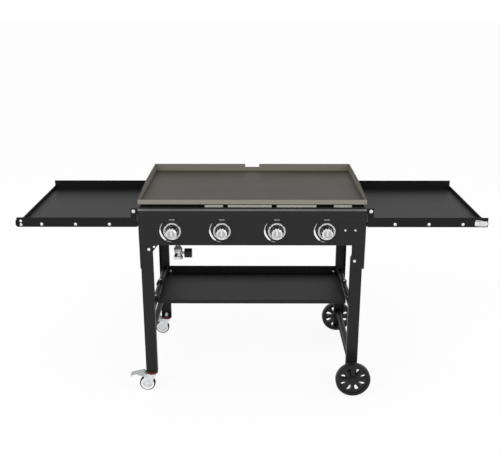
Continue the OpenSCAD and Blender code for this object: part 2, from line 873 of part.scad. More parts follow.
module latch_lever() {
    z0 = latch_z - lever_h / 2;
    z1 = latch_z + lever_h / 2;
    color([0.84, 0.84, 0.82]) difference() {
        union() {
            rod_z(latch_pin_x, latch_pin_y, z0, z1, latch_pivot_r);
            rod_z(loop_pin_x, loop_pin_y, z0, z1, knuckle_r);
            block(latch_pin_x - lever_l, latch_pin_x, latch_pin_y - latch_pivot_r,
                latch_pin_y - latch_pivot_r + lever_t, z0, z1);
        }
        rod_z(latch_pin_x, latch_pin_y, z0 - cut, z1 + cut, latch_pivot_r / 2 + run);
        rod_z(loop_pin_x, loop_pin_y, z0 - cut, z1 + cut, loop_r + run);
    }
}

// Loop: a pin in the lever's knuckle, two arms beside it, a strap and a tongue at the end
module latch_loop() {
    x1 = loop_pin_x + loop_l;
    y0 = loop_pin_y - loop_t / 2;
    y1 = loop_pin_y + loop_t / 2;
    strap_x = loop_pin_x + knuckle_r + gap;
    half_h = loop_h + loop_r;
    color([0.86, 0.86, 0.85]) {
        rod_z(loop_pin_x, loop_pin_y, latch_z - loop_h, latch_z + loop_h, loop_r);
        for (z = [latch_z - half_h, latch_z + half_h - 2 * loop_r])
            block(loop_pin_x - 2 * loop_r, strap_x, y0, y1, z, z + 2 * loop_r);
        block(strap_x, x1 - loop_tongue_l, y0, y1, latch_z - half_h, latch_z + half_h);
        block(x1 - loop_tongue_l, x1, y0, y1, latch_z - loop_tongue_h / 2, latch_z + loop_tongue_h / 2);
    }
}

// One leg on the right side, with its web at y: an open channel with a round top at the pivot
module leg(y, pivot_in, pivot_z, end_z) {
    px = leg_x - pivot_in;
    in_x = leg_x - leg_w;
    z1 = pivot_z + leg_top_over;
    color([0.19, 0.19, 0.19]) difference() {
        union() {
            plate_xz(y, leg_sheet) intersection() {
                translate([in_x, end_z]) square([leg_w, z1 - end_z]);
                union() {
                    translate([px, pivot_z]) circle(pivot_in);
                    translate([in_x, end_z - cut]) square([leg_w, pivot_z - end_z + cut]);
                }
            }
            block(leg_x - leg_sheet, leg_x, y, y + leg_d, end_z, pivot_z);
            block(in_x, in_x + leg_sheet, y, y + leg_d, end_z, pivot_z);
            block(in_x, leg_x, y, y + leg_d, end_z, end_z + leg_sheet);
        }
        rod_y(px, y - cut, y + leg_sheet + cut, pivot_z, pivot_bolt_r + run);
        children();
    }
}

module left_legs() {
    mirror([1, 0, 0]) front_and_rear() leg(left_web_y, left_pivot_in, left_pivot_z, left_leg_end)
        rod_z(caster_x, -caster_y, left_leg_end - cut, left_leg_end + leg_sheet + cut, stem_r);
}

module cross_tubes(y, heights) {
    reach = -y - leg_sheet;
    color([0.19, 0.19, 0.19]) for (z = heights) rod_y(leg_mid_x, -reach, reach, z, tube_r);
}

module right_legs() {
    front_and_rear() leg(right_web_y, right_pivot_in, right_pivot_z, right_leg_end)
        rod_y(leg_mid_x, right_web_y - cut, right_web_y + leg_sheet + cut, wheel_r, axle_r);
}

// Axle of the large wheels: rod, spacers outside the legs and hub caps
module wheel_axle() {
    spacer_r = 2 * axle_r;
    end_y = wheel_y + wheel_w + seat;
    color([0.12, 0.12, 0.12]) {
        rod_y(leg_mid_x, -end_y, end_y, wheel_r, axle_r);
        front_and_rear() {
            rod_y(leg_mid_x, -wheel_y + seat, right_web_y, wheel_r, spacer_r);
            rod_y(leg_mid_x, -end_y - hub_cap_l, -end_y, wheel_r, hub_cap_r);
        }
    }
}

// A teardrop that points at the hub: two rounds and the straight sides that touch both
module opening() {
    top = wheel_r - tread - opening_r / 2 - opening_r;
    low = top - opening_len;
    lean = asin((opening_r - opening_tip_r) / opening_len);
    translate([0, top]) circle(opening_r);
    translate([0, low]) circle(opening_tip_r);
    polygon([
        [opening_r * cos(lean), top - opening_r * sin(lean)],
        [opening_tip_r * cos(lean), low - opening_tip_r * sin(lean)],
        [-opening_tip_r * cos(lean), low - opening_tip_r * sin(lean)],
        [-opening_r * cos(lean), top - opening_r * sin(lean)]
    ]);
}

module large_wheel() {
    color([0.09, 0.09, 0.09]) translate([leg_mid_x, 0, wheel_r]) difference() {
        translate([0, -wheel_y, 0]) rotate([90, 0, 0]) rotate_extrude($fn = 96) polygon([
            [axle_r + run, 0],
            [wheel_hub_r, 0],
            [wheel_hub_r, wheel_dish],
            [wheel_r - tread, wheel_dish],
            [wheel_r - tread, 0],
            [wheel_r - wheel_dish / 2, 0],
            [wheel_r, wheel_dish],
            [wheel_r, wheel_w - wheel_dish],
            [wheel_r - wheel_dish / 2, wheel_w],
            [wheel_r - tread, wheel_w],
            [wheel_r - tread, wheel_w - wheel_dish],
            [wheel_hub_r, wheel_w - wheel_dish],
            [wheel_hub_r, wheel_w],
            [axle_r + run, wheel_w]
        ]);
        for (i = [0:wheel_openings - 1])
            rotate([0, (i + 1 / 2) * 360 / wheel_openings, 0])
                plate_xz(-wheel_y - wheel_w - cut, wheel_w + 2 * cut) opening();
    }
}

// Caster pieces at the front left; the rear ones mirror them
module caster_stem() {
    z1 = left_leg_end + leg_sheet;
    color([0.78, 0.78, 0.76]) {
        rod_z(-caster_x, -caster_y, fork_z - fork_plate_t - seat, z1, stem_r);
        rod_z(-caster_x, -caster_y, fork_z - fork_plate_t - seat - stem_head_h, fork_z - fork_plate_t - seat,
            stem_nut_r);
        rod_z(-caster_x, -caster_y, z1, z1 + stem_washer, stem_nut_r);
        rod_z(-caster_x, -caster_y, z1 + stem_washer, z1 + 2 * stem_nut_h, stem_r);
        translate([-caster_x, -caster_y, z1 + stem_washer]) cylinder(h = stem_nut_h, r = stem_nut_r, $fn = 6);
    }
}

module caster_cover() {
    color([0.45, 0.12, 0.13]) difference() {
        rod_z(-caster_x, -caster_y, cover_z, left_leg_end, cover_r);
        rod_z(-caster_x, -caster_y, cover_z - cut, left_leg_end + cut, stem_r);
    }
}

// The fork: a round plate under the cover, two cheeks down to the axle and a pin for the pedal
module caster_fork() {
    inner = caster_w / 2 + fork_gap;
    outer = inner + fork_cheek_t;
    axle_x = -caster_x - caster_trail;
    pin_l = fork_cheek_t + 2 * seat;
    color([0.76, 0.77, 0.76]) difference() {
        union() {
            rod_z(-caster_x, -caster_y, fork_z - fork_plate_t, fork_z, fork_plate_r);
            for (y = [-caster_y - outer, -caster_y + inner]) plate_xz(y, fork_cheek_t) hull() {
                translate([axle_x, caster_r]) circle(fork_cheek_r);
                translate([-caster_x - fork_left, fork_z - 2 * pedal_pin_r - pedal_pin_z])
                    square([fork_left, pedal_pin_z]);
                translate([-caster_x - fork_plate_r / 2, fork_z - fork_plate_t])
                    square([fork_plate_r / 2 + fork_right, fork_plate_t]);
            }
            for (y = [-caster_y - outer - pin_l, -caster_y + outer])
                rod_y(-caster_x - pedal_pin_x, y, y + pin_l, fork_z - pedal_pin_z, pedal_pin_r);
        }
        rod_z(-caster_x, -caster_y, fork_z - fork_plate_t - cut, fork_z + cut, stem_r + run);
        rod_y(axle_x, -caster_y - outer - cut, -caster_y + outer + cut, caster_r, caster_axle_r);
    }
}

module caster_tyre() {
    color([0.07, 0.07, 0.07]) translate([-caster_x - caster_trail, -caster_y, caster_r]) rotate([90, 0, 0])
        rotate_extrude($fn = 72) difference() {
            translate([0, -caster_w / 2]) hull() {
                square([caster_r - caster_w / 5, caster_w]);
                translate([0, caster_w / 5]) square([caster_r, caster_w * 3 / 5]);
            }
            translate([0, -caster_w / 2 - cut]) square([core_r, caster_w + 2 * cut]);
        }
}

// The core carries the axle, which turns in the fork
module caster_core() {
    inner = caster_w / 2 + fork_gap;
    color([0.8, 0.8, 0.78]) translate([-caster_x - caster_trail, -caster_y, caster_r]) {
        rod_y(0, -caster_w / 2, caster_w / 2, 0, core_r);
        rod_y(0, -inner + seat, inner - seat, 0, hub_r);
        rod_y(0, -inner - fork_cheek_t, inner + fork_cheek_t, 0, caster_axle_r - run);
    }
}

// Brake pedal: a sloping tread on two arms that turn on the fork's pin
module brake_pedal() {
    inner = caster_w / 2 + fork_gap + fork_cheek_t + seat;
    outer = inner + fork_cheek_t;
    slope = (pedal_high - pedal_low) / (pedal_out - pedal_in);
    color([0.66, 0.67, 0.66]) translate([-caster_x - pedal_pin_x, -caster_y, fork_z - pedal_pin_z]) difference() {
        union() {
            for (y = [-outer, inner]) plate_xz(y, fork_cheek_t) hull() {
                circle(2 * pedal_pin_r);
                polygon([
                    [-pedal_in, pedal_high - pedal_t / 2],
                    [-pedal_arm, pedal_high - pedal_t / 2 - slope * (pedal_arm - pedal_in)],
                    [-pedal_arm, pedal_low]
                ]);
            }
            plate_xz(-outer, 2 * outer) polygon([
                [-pedal_in, pedal_high],
                [-pedal_in, pedal_high - pedal_t],
                [-pedal_out + pedal_t, pedal_low - pedal_t + slope * pedal_t],
                [-pedal_out + pedal_t, pedal_low - pedal_lip],
                [-pedal_out, pedal_low - pedal_lip],
                [-pedal_out, pedal_low]
            ]);
        }
        rod_y(0, -outer - cut, outer + cut, 0, pedal_pin_r + run);
    }
}

// Saddles: half rings that sit over the left upper tube and carry the shelf's hooks
module shelf_saddles() {
    color([0.1, 0.1, 0.1]) for (s = [-1, 1]) translate([-leg_mid_x, 0, upper_tube_z])
        plate_xz(s * hook_y - saddle_w / 2, saddle_w) difference() {
            circle(saddle_r);
            circle(tube_r + run);
            translate([-tube_r - run, -saddle_r - cut]) square([2 * (tube_r + run), saddle_r + cut]);
            translate([-saddle_r - cut, -saddle_r - cut]) square([2 * (saddle_r + cut), saddle_r + cut - saddle_drop]);
        }
}

// Bottom shelf: floor, low lips, a higher rear wall, hooks at the left and tabs at the right
module bottom_shelf() {
    sx = shelf_w / 2;
    sy = shelf_d / 2;
    z1 = shelf_z + shelf_lip;
    hook_r = saddle_r + run;
    hook_z = upper_tube_z + hook_r + hook_t / 2;
    color([0.16, 0.16, 0.16]) {
        block(-sx, sx, -sy, sy, shelf_z, shelf_z + shelf_sheet);
        block(-sx, sx, -sy, -sy + shelf_sheet, shelf_z, z1);
        block(-sx, sx, sy - shelf_sheet, sy, shelf_z, shelf_z + shelf_wall);
        for (x = [-sx, sx - shelf_sheet]) plate_yz(x, shelf_sheet) polygon([
            [-sy, shelf_z],
            [sy, shelf_z],
            [sy, shelf_z + shelf_wall],
            [-sy, z1]
        ]);
        for (s = [-1, 1]) {
            plate_xz(s * hook_y - hook_w / 2, hook_w) {
                translate([-leg_mid_x, upper_tube_z]) difference() {
                    circle(hook_r + hook_t);
                    circle(hook_r);
                    translate([-hook_r - hook_t - cut, -hook_r - hook_t - cut])
                        square([2 * (hook_r + hook_t + cut), hook_r + hook_t + cut]);
                }
                translate([-leg_mid_x, hook_z])
                    square([leg_mid_x - sx + shelf_sheet, shelf_z + shelf_sheet - hook_z]);
            }
            block(sx - shelf_sheet, sx + tab_reach, s * hook_y - tab_w / 2, s * hook_y + tab_w / 2,
                upper_tube_z + tube_r + shelf_gap, upper_tube_z + tube_r + shelf_gap + tab_t);
            block(sx - shelf_sheet, sx, s * hook_y - tab_w / 2, s * hook_y + tab_w / 2,
                upper_tube_z + tube_r + shelf_gap, shelf_z);
        }
    }
}

module shelf_screws() {
    sx = shelf_w / 2;
    color([0.88, 0.88, 0.87]) for (s = [-1, 1]) {
        translate([s * (sx - shelf_screw_in), shelf_d / 2 - shelf_sheet, shelf_z + shelf_screw_up + shelf_sheet])
            rotate([90, 0, 0]) cylinder(h = screw_head_l, r1 = tray_screw_r, r2 = screw_r);
        translate([-leg_mid_x + hook_t, s * hook_y, shelf_z + shelf_sheet])
            cylinder(h = screw_head_l, r1 = tray_screw_r, r2 = screw_r);
        translate([leg_mid_x, s * hook_y, upper_tube_z + tube_r + shelf_gap + tab_t])
            cylinder(h = screw_head_l, r1 = tray_screw_r, r2 = screw_r);
    }
}

control_panel();
mirror([1, 0, 0]) side_panel();  // left_side_panel
side_panel();  // right_side_panel
back_panel();
front_leg_brackets();
mirror([0, 1, 0]) front_leg_brackets();  // rear_leg_brackets
firebox();
wind_guard();
burners();
gas_manifold();
gas_valves();
regulator_body();
regulator_wheel();
knob_bezels();
spindle(0);  // spindle_1
spindle(1);  // spindle_2
spindle(2);  // spindle_3
spindle(3);  // spindle_4
knob(0);  // knob_1
knob(1);  // knob_2
knob(2);  // knob_3
knob(3);  // knob_4
blank_plate();
body_screws();
mirror([1, 0, 0]) handle();  // left_handle
handle();  // right_handle
tray_hinge_brackets();
tray_pivot_bolts();
leg_pivot_bolts();
grease_cup();
griddle_plate();
tray();  // left_tray
left_tray_screws();
latch_keeper();
mirror([1, 0, 0]) tray();  // right_tray
mirror([1, 0, 0]) tray_screws();  // right_tray_screws
latch_base();
latch_lever();
latch_loop();
left_legs();
mirror([1, 0, 0]) cross_tubes(left_web_y, [upper_tube_z, left_tube_z]);  // left_cross_tubes
front_and_rear() caster_stem();  // caster_stems
front_and_rear() caster_cover();  // caster_covers
caster_fork();  // front_caster_fork
mirror([0, 1, 0]) caster_fork();  // rear_caster_fork
caster_tyre();  // front_caster_tyre
mirror([0, 1, 0]) caster_tyre();  // rear_caster_tyre
caster_core();  // front_caster_core
mirror([0, 1, 0]) caster_core();  // rear_caster_core
brake_pedal();  // front_brake_pedal
mirror([0, 1, 0]) brake_pedal();  // rear_brake_pedal
right_legs();
cross_tubes(right_web_y, [upper_tube_z, right_tube_z]);  // right_cross_tubes
wheel_axle();
large_wheel();  // front_wheel
mirror([0, 1, 0]) large_wheel();  // rear_wheel
shelf_saddles();
bottom_shelf();
shelf_screws();
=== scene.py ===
"""Outdoor gas griddle station: finishes, thin added pieces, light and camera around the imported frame."""

import json
import math

import bmesh
import bpy
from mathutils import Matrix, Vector


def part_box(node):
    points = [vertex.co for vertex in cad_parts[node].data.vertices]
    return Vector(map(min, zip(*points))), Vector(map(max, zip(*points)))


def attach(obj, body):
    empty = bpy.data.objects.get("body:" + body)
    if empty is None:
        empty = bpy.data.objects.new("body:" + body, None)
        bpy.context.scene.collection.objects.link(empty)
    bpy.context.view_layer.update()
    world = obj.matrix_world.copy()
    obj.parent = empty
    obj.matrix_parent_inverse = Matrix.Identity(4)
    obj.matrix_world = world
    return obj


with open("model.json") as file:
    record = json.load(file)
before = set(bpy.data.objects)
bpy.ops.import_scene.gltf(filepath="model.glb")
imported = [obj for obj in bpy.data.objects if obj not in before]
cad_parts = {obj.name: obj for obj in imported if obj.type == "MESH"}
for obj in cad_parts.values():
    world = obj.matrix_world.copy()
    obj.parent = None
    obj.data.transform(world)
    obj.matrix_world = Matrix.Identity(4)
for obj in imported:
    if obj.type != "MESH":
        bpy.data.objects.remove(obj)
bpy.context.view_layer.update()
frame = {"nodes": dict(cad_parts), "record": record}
NODES = frame["nodes"]

MM = 0.001
SHARP_ANGLE = math.radians(32)
WHITE = (1, 1, 1, 1)


def srgb(*channels):
    """Linear values of 0 to 255 display values."""
    out = []
    for c in channels:
        c /= 255
        out.append(c / 12.92 if c <= 0.04045 else ((c + 0.055) / 1.055) ** 2.4)
    return (*out, 1.0)


# Finishes

MOTTLE_DETAIL = 4
MOTTLE_RANGE = (0.35, 0.7)
UPRIGHT_RANGE = (0.8, 0.3)
GRAIN_DETAIL = 2
GRAIN_STRENGTH = 0.5


def link(tree, a, b):
    tree.links.new(a, b)


def noise(tree, place, size, detail):
    node = tree.nodes.new("ShaderNodeTexNoise")
    node.inputs["Scale"].default_value = size
    node.inputs["Detail"].default_value = detail
    link(tree, place, node.inputs["Vector"])
    return node.outputs["Fac"]


def spread(tree, value, start, end, top=1.0):
    """Spreads a value that runs from start to end over 0 to top."""
    node = tree.nodes.new("ShaderNodeMapRange")
    node.inputs["From Min"].default_value = start
    node.inputs["From Max"].default_value = end
    node.inputs["To Max"].default_value = top
    link(tree, value, node.inputs["Value"])
    return node.outputs["Result"]


def color_mix(tree, share, first, second):
    node = tree.nodes.new("ShaderNodeMix")
    node.data_type = "RGBA"
    node.inputs["A"].default_value = first
    node.inputs["B"].default_value = second
    link(tree, share, node.inputs["Factor"])
    return node


def finish(name, color, rough, metal=0.0, grain=None, mottle=None, edge=None, shine=0.5):
    """A finish. grain is the size in 1/m and the height in m of a fine bump. mottle is a size in 1/m, a
    second colour and its share. edge is a painted colour for the faces that stand upright on the piece, so
    that faces are coloured by how they are turned, as painted light, and shine is the strength of its
    mirror image."""
    mat = bpy.data.materials.new(name)
    mat.use_nodes = True
    tree = mat.node_tree
    shader = tree.nodes["Principled BSDF"]
    shader.inputs["Base Color"].default_value = color
    shader.inputs["Roughness"].default_value = rough
    shader.inputs["Metallic"].default_value = metal
    shader.inputs["Specular IOR Level"].default_value = shine
    place = tree.nodes.new("ShaderNodeTexCoord")
    base = None
    if mottle:
        size, second, share = mottle
        clouds = noise(tree, place.outputs["Object"], size, MOTTLE_DETAIL)
        spots = spread(tree, clouds, *MOTTLE_RANGE, top=share)
        base = color_mix(tree, spots, color, second).outputs["Result"]
    # Painted light: upright faces get the edge colour and the others keep the base, standing in for how
    # light falls on each
    if edge:
        split = tree.nodes.new("ShaderNodeSeparateXYZ")
        link(tree, place.outputs["Normal"], split.inputs["Vector"])
        upright = spread(tree, split.outputs["Z"], *UPRIGHT_RANGE)
        rim = color_mix(tree, upright, color, edge)
        if base is not None:
            link(tree, base, rim.inputs["A"])
        base = rim.outputs["Result"]
    if base is not None:
        link(tree, base, shader.inputs["Base Color"])
    if grain:
        size, height = grain
        bump = tree.nodes.new("ShaderNodeBump")
        bump.inputs["Distance"].default_value = height
        bump.inputs["Strength"].default_value = GRAIN_STRENGTH
        link(tree, noise(tree, place.outputs["Object"], size, GRAIN_DETAIL), bump.inputs["Height"])
        link(tree, bump.outputs["Normal"], shader.inputs["Normal"])
    return mat


POWDER = (900, 0.00006)
CASTING = (500, 0.00008)
FINISHES = {
    "powder_black": dict(color=srgb(28, 28, 29), rough=0.5, shine=0.22, grain=POWDER,
                         mottle=(9, srgb(23, 23, 24), 0.8)),
    "tray_black": dict(color=srgb(22, 22, 22), rough=0.46, shine=0.14, grain=POWDER,
                       mottle=(6, srgb(17, 17, 17), 0.8)),
    "handle_black": dict(color=srgb(26, 26, 27), rough=0.45, shine=0.3, grain=POWDER),
    # The plate's upright faces are painted paler with the edge colour: painted highlight on its rim, over
    # one steel
    "plate_steel": dict(color=srgb(62, 57, 48), rough=0.5, metal=0.2, shine=0.25, grain=CASTING,
                        mottle=(7, srgb(51, 46, 38), 0.9), edge=srgb(132, 128, 118)),
    "firebox_steel": dict(color=srgb(30, 28, 27), rough=0.6, shine=0.2),
    "plain_steel": dict(color=srgb(196, 193, 185), rough=0.4, metal=0.6),
    "zinc": dict(color=srgb(224, 227, 230), rough=0.3, metal=0.6, mottle=(60, srgb(196, 199, 202), 0.8)),
    "pedal_steel": dict(color=srgb(186, 192, 193), rough=0.38, metal=0.5,
                        mottle=(80, srgb(158, 164, 165), 0.9)),
    "knob_chrome": dict(color=srgb(226, 226, 227), rough=0.1, metal=0.97),
    "brass": dict(color=srgb(196, 162, 90), rough=0.35, metal=0.9),
    "cast_alloy": dict(color=srgb(196, 196, 194), rough=0.35, metal=0.7,
                       mottle=(120, srgb(150, 150, 148), 0.9)),
    "cup_alloy": dict(color=srgb(178, 178, 178), rough=0.35, metal=0.85),
    "wheel_black": dict(color=srgb(25, 25, 26), rough=0.45, shine=0.25),
    "tyre": dict(color=srgb(13, 13, 13), rough=0.65, shine=0.1),
    "core_pale": dict(color=srgb(238, 236, 232), rough=0.35),
    "cover_red": dict(color=srgb(92, 34, 38), rough=0.5, shine=0.25),
    "saddle_black": dict(color=srgb(24, 24, 24), rough=0.55, shine=0.2),
}
LOOKS = {name: finish(name, **row) for name, row in FINISHES.items()}

# Painted highlight: the panel's top faces are painted pale grey for the light on them, while its front,
# which stands upright, keeps the black of its powder coat
PANEL_PAINTED_TOP_HIGHLIGHT = finish("panel_black_painted_top_highlight", srgb(135, 135, 133), rough=0.5, shine=0.22, grain=POWDER,
                    mottle=(9, srgb(118, 118, 116), 0.8), edge=srgb(28, 28, 29))
BEZEL_LOOK = finish("bezel_chrome", srgb(242, 242, 242), rough=0.25, metal=0.55)
# Painted glint: screws and washer painted near white with little metal, brighter than their zinc in the
# shade
SCREW_PAINTED_GLINT = finish("screw_painted_glint", srgb(248, 248, 248), rough=0.35, metal=0.15)
# Near black, shared: painted dark reflection in the bezels, painted shade on the knobs and in the
# regulator's groove, and the real black of the regulator's vent plug
PAINTED_SHADE_AND_PLUG_BLACK = finish("painted_shade_and_plug_black", srgb(16, 16, 16), rough=0.5, shine=0.15)
GROOVE_PAINTED_SHADE = finish("groove_painted_shade", srgb(120, 118, 114), rough=0.6, shine=0.2)
FACE = finish("face_grey", srgb(176, 176, 176), rough=0.3, metal=0.8)
PRINT = finish("print_white", srgb(246, 246, 244), rough=0.6, shine=0.1)
PRINT_GREY = finish("print_grey", srgb(168, 168, 167), rough=0.6, shine=0.1)

OWN_LOOK = {"control_panel": PANEL_PAINTED_TOP_HIGHLIGHT, "knob_bezels": BEZEL_LOOK, "shelf_screws": SCREW_PAINTED_GLINT}
SLOT_OF = {row["node"]: row["material_slot"] for row in frame["record"]["subparts"]}
for node, obj in NODES.items():
    for holder in obj.material_slots:
        holder.material = OWN_LOOK.get(node, LOOKS[SLOT_OF[node]])
    obj.data.shade_smooth()
    obj.data.set_sharp_from_angle(angle=SHARP_ANGLE)

# Soft edges on the pressed sheets, in millimetres
SOFT_FROM = math.radians(40)
SOFT_EDGES = {
    "control_panel": 0.5, "griddle_plate": 0.8, "left_tray": 0.4, "right_tray": 0.4, "bottom_shelf": 0.4,
    "left_legs": 0.5, "right_legs": 0.5, "front_leg_brackets": 0.4, "rear_leg_brackets": 0.4,
    "blank_plate": 0.3, "front_brake_pedal": 0.4, "rear_brake_pedal": 0.4,
}
for node, width in SOFT_EDGES.items():
    soft = NODES[node].modifiers.new("soft_edges", "BEVEL")
    soft.width = width * MM
    soft.segments = 2
    soft.limit_method = "ANGLE"
    soft.angle_limit = SOFT_FROM
    soft.harden_normals = True


# Pieces

def piece(name, mesh, material, body):
    obj = bpy.data.objects.new(name, mesh)
    bpy.context.scene.collection.objects.link(obj)
    obj.data.materials.append(material)
    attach(obj, body)


def middle(node):
    """The (x, z) middle of a node's box."""
    low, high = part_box(node)
    return (low.x + high.x) / 2, (low.z + high.z) / 2


def join_rows(bm, a, b):
    """Faces between two rows of four points."""
    for k in range(4):
        bm.faces.new((a[k], a[(k + 1) % 4], b[(k + 1) % 4], b[k]))


def closed_mesh(name, bm):
    bmesh.ops.recalc_face_normals(bm, faces=bm.faces)
    mesh = bpy.data.meshes.new(name)
    bm.to_mesh(mesh)
    bm.free()
    return mesh


def strip_mesh(name, outer, inner, y, thick):
    """A thin band between two lines of (x, z) points, from y to the front."""
    bm = bmesh.new()
    rows = []
    for (ox, oz), (ix, iz) in zip(outer, inner):
        corners = ((ox, y - thick, oz), (ix, y - thick, iz), (ix, y, iz), (ox, y, oz))
        rows.append([bm.verts.new(corner) for corner in corners])
    for a, b in zip(rows, rows[1:]):
        join_rows(bm, a, b)
    bm.faces.new(reversed(rows[0]))
    bm.faces.new(rows[-1])
    return closed_mesh(name, bm)


def ring_mesh(name, centre, radii, span, upright=False, steps=64):
    """A ring round an axis along Y, or along Z where it is upright. centre is (x, z), or (x, y) where it is
    upright, radii are the inner and the outer one, and span is both ends along the axis."""
    inner, outer = radii
    start, end = span
    bm = bmesh.new()
    rows = []
    for k in range(steps):
        angle = math.tau * k / steps
        row = []
        for r, along in ((outer, start), (outer, end), (inner, end), (inner, start)):
            x = centre[0] + r * math.cos(angle)
            side = centre[1] + r * math.sin(angle)
            row.append(bm.verts.new((x, side, along) if upright else (x, along, side)))
        rows.append(row)
    for k in range(steps):
        join_rows(bm, rows[k], rows[(k + 1) % steps])
    mesh = closed_mesh(name, bm)
    mesh.shade_smooth()
    mesh.set_sharp_from_angle(angle=SHARP_ANGLE)
    return mesh


# Inside each bezel: a black ring of painted dark reflection and a bright ring of painted highlight on the
# chrome. On each knob: a black ring of painted shade and a grey face
PANEL_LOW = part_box("control_panel")[0]
PANEL_Y = PANEL_LOW.y
KNOBS = range(1, 5)
BEZEL_FLOOR = 1.5 * MM
THIN_RING_T = 0.3 * MM
PAINTED_DARK_R = (16 * MM, 27.3 * MM)
PAINTED_HIGHLIGHT_R = (19.4 * MM, 21.6 * MM)
KNOB_SHADE_R = (19 * MM, 21.7 * MM)
KNOB_SHADE_BACK = 21.4 * MM
KNOB_SHADE_L = 8 * MM
FACE_R = (4 * MM, 14.8 * MM)
FACE_SINK = 2 * MM

# Printed round each knob: three marks that make one arc, and a short mark above it
PRINT_T = 0.15 * MM
ARC_R = 47.5 * MM
ARC_SHIFT = (-3 * MM, 2.5 * MM)
ARC_STEPS = 8
# Angle in degrees from the right, anticlockwise, and the band's width in millimetres
MARKS = {
    "high": ([(176, 4.6), (184, 5.6), (200, 6.8), (214, 7.0), (228, 6.4), (240, 4.2)], PRINT),
    "rise": ([(140, 1.4), (150, 3.0), (164, 4.0), (176, 4.6)], PRINT_GREY),
    "low": ([(244, 1.8), (255, 2.2), (268, 1.4)], PRINT_GREY),
}
OFF_MARK_UP = 45.9 * MM
OFF_MARK_W = 22 * MM
OFF_MARK_H = 2.6 * MM


def arc_lines(x, z, table):
    """The outer and the inner line of a band round (x, z)."""
    stops = []
    for (a0, w0), (a1, w1) in zip(table, table[1:]):
        for k in range(ARC_STEPS):
            t = k / ARC_STEPS
            stops.append((a0 + (a1 - a0) * t, w0 + (w1 - w0) * t))
    stops.append(table[-1])
    outer, inner = [], []
    for degrees, width in stops:
        a = math.radians(degrees)
        r = ARC_R - width * MM
        outer.append((x + ARC_R * math.cos(a), z + ARC_R * math.sin(a)))
        inner.append((x + r * math.cos(a), z + r * math.sin(a)))
    return outer, inner


for i in KNOBS:
    x, z = middle(f"spindle_{i}")
    floor_y = PANEL_Y - BEZEL_FLOOR
    painted_dark_y = floor_y - THIN_RING_T
    # Painted dark reflection: a black ring on the bezel's floor
    painted_dark_ring = ring_mesh("bezel_painted_reflection", (x, z), PAINTED_DARK_R, (painted_dark_y, floor_y))
    piece(f"bezel_painted_reflection_{i}", painted_dark_ring, PAINTED_SHADE_AND_PLUG_BLACK, "body")
    # Painted highlight: a bright ring on the bezel's floor
    line = ring_mesh("bezel_painted_highlight", (x, z), PAINTED_HIGHLIGHT_R, (floor_y - 2 * THIN_RING_T, painted_dark_y))
    piece(f"bezel_painted_highlight_{i}", line, LOOKS["knob_chrome"], "body")

    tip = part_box(f"knob_{i}")[0].y
    # Painted shade: a black ring round the back of the knob
    knob_shade_y = tip + KNOB_SHADE_BACK
    knob_shade = ring_mesh("knob_painted_shade", (x, z), KNOB_SHADE_R, (knob_shade_y - KNOB_SHADE_L, knob_shade_y))
    piece(f"knob_painted_shade_{i}", knob_shade, PAINTED_SHADE_AND_PLUG_BLACK, f"knob_{i}")
    face_y = tip + FACE_SINK
    face = ring_mesh("knob_face", (x, z), FACE_R, (face_y - THIN_RING_T, face_y))
    piece(f"knob_face_{i}", face, FACE, f"knob_{i}")

    for part, (table, ink) in MARKS.items():
        outer, inner = arc_lines(x + ARC_SHIFT[0], z + ARC_SHIFT[1], table)
        mark = strip_mesh("heat_mark", outer, inner, PANEL_Y, PRINT_T)
        piece(f"heat_mark_{part}_{i}", mark, ink, "body")
    left, right = x - OFF_MARK_W / 2, x + OFF_MARK_W / 2
    bottom = z + OFF_MARK_UP
    top = bottom + OFF_MARK_H
    upper, lower = [(left, top), (right, top)], [(left, bottom), (right, bottom)]
    mark = strip_mesh("off_mark", upper, lower, PANEL_Y, PRINT_T)
    piece(f"off_mark_{i}", mark, PRINT_GREY, "body")

# A grey ring on both faces of each caster core: painted shade for a groove
GROOVE_R = (15.2 * MM, 17.4 * MM)
GROOVE_T = 0.2 * MM
for end in ("front", "rear"):
    low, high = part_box(f"{end}_caster_tyre")
    for side, y in (("near", low.y - GROOVE_T), ("far", high.y)):
        groove = ring_mesh("core_groove_painted_shade", middle(f"{end}_caster_tyre"), GROOVE_R, (y, y + GROOVE_T))
        piece(f"{end}_core_groove_{side}", groove, GROOVE_PAINTED_SHADE, f"{end}_roller")

# Round the regulator: a hexagon nut at its socket, a dark ring painted as the shade in its groove and a
# bright ridge. The rows give the lowest and the highest point above its lower end and the height over its
# wall, in millimetres, then the number of sides, the look and the slot
REG_LOW, REG_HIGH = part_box("regulator_body")
REG_R = 15 * MM
REG_X = REG_LOW.x + 18 * MM
REG_Y = (REG_LOW.y + REG_HIGH.y) / 2
REG_SINK = 1 * MM
REG_RINGS = {
    "regulator_nut": (1, 12, 4.5, 6, LOOKS["zinc"], "zinc"),
    "regulator_groove_painted_shade": (13.5, 15.5, 0.3, 48, PAINTED_SHADE_AND_PLUG_BLACK, "wheel_black"),
    "regulator_ridge": (32, 34.5, 2, 48, LOOKS["zinc"], "zinc"),
}
for name, (bottom, top, proud, sides, look, slot) in REG_RINGS.items():
    radii = (REG_R - REG_SINK, REG_R + proud * MM)
    span = (REG_LOW.z + bottom * MM, REG_LOW.z + top * MM)
    ring = ring_mesh(name, (REG_X, REG_Y), radii, span, upright=True, steps=sides)
    piece(name, ring, look, "body")

# A dark vent plug at the regulator's left front
PLUG_R = (0.6 * MM, 5.5 * MM)
PLUG_OUT = 5 * MM
PLUG_AT = (REG_X - 7 * MM, REG_LOW.z + 22 * MM)
plug = ring_mesh("regulator_plug", PLUG_AT, PLUG_R, (REG_Y - REG_R - PLUG_OUT, REG_Y - REG_R / 2))
piece("regulator_plug", plug, PAINTED_SHADE_AND_PLUG_BLACK, "body")

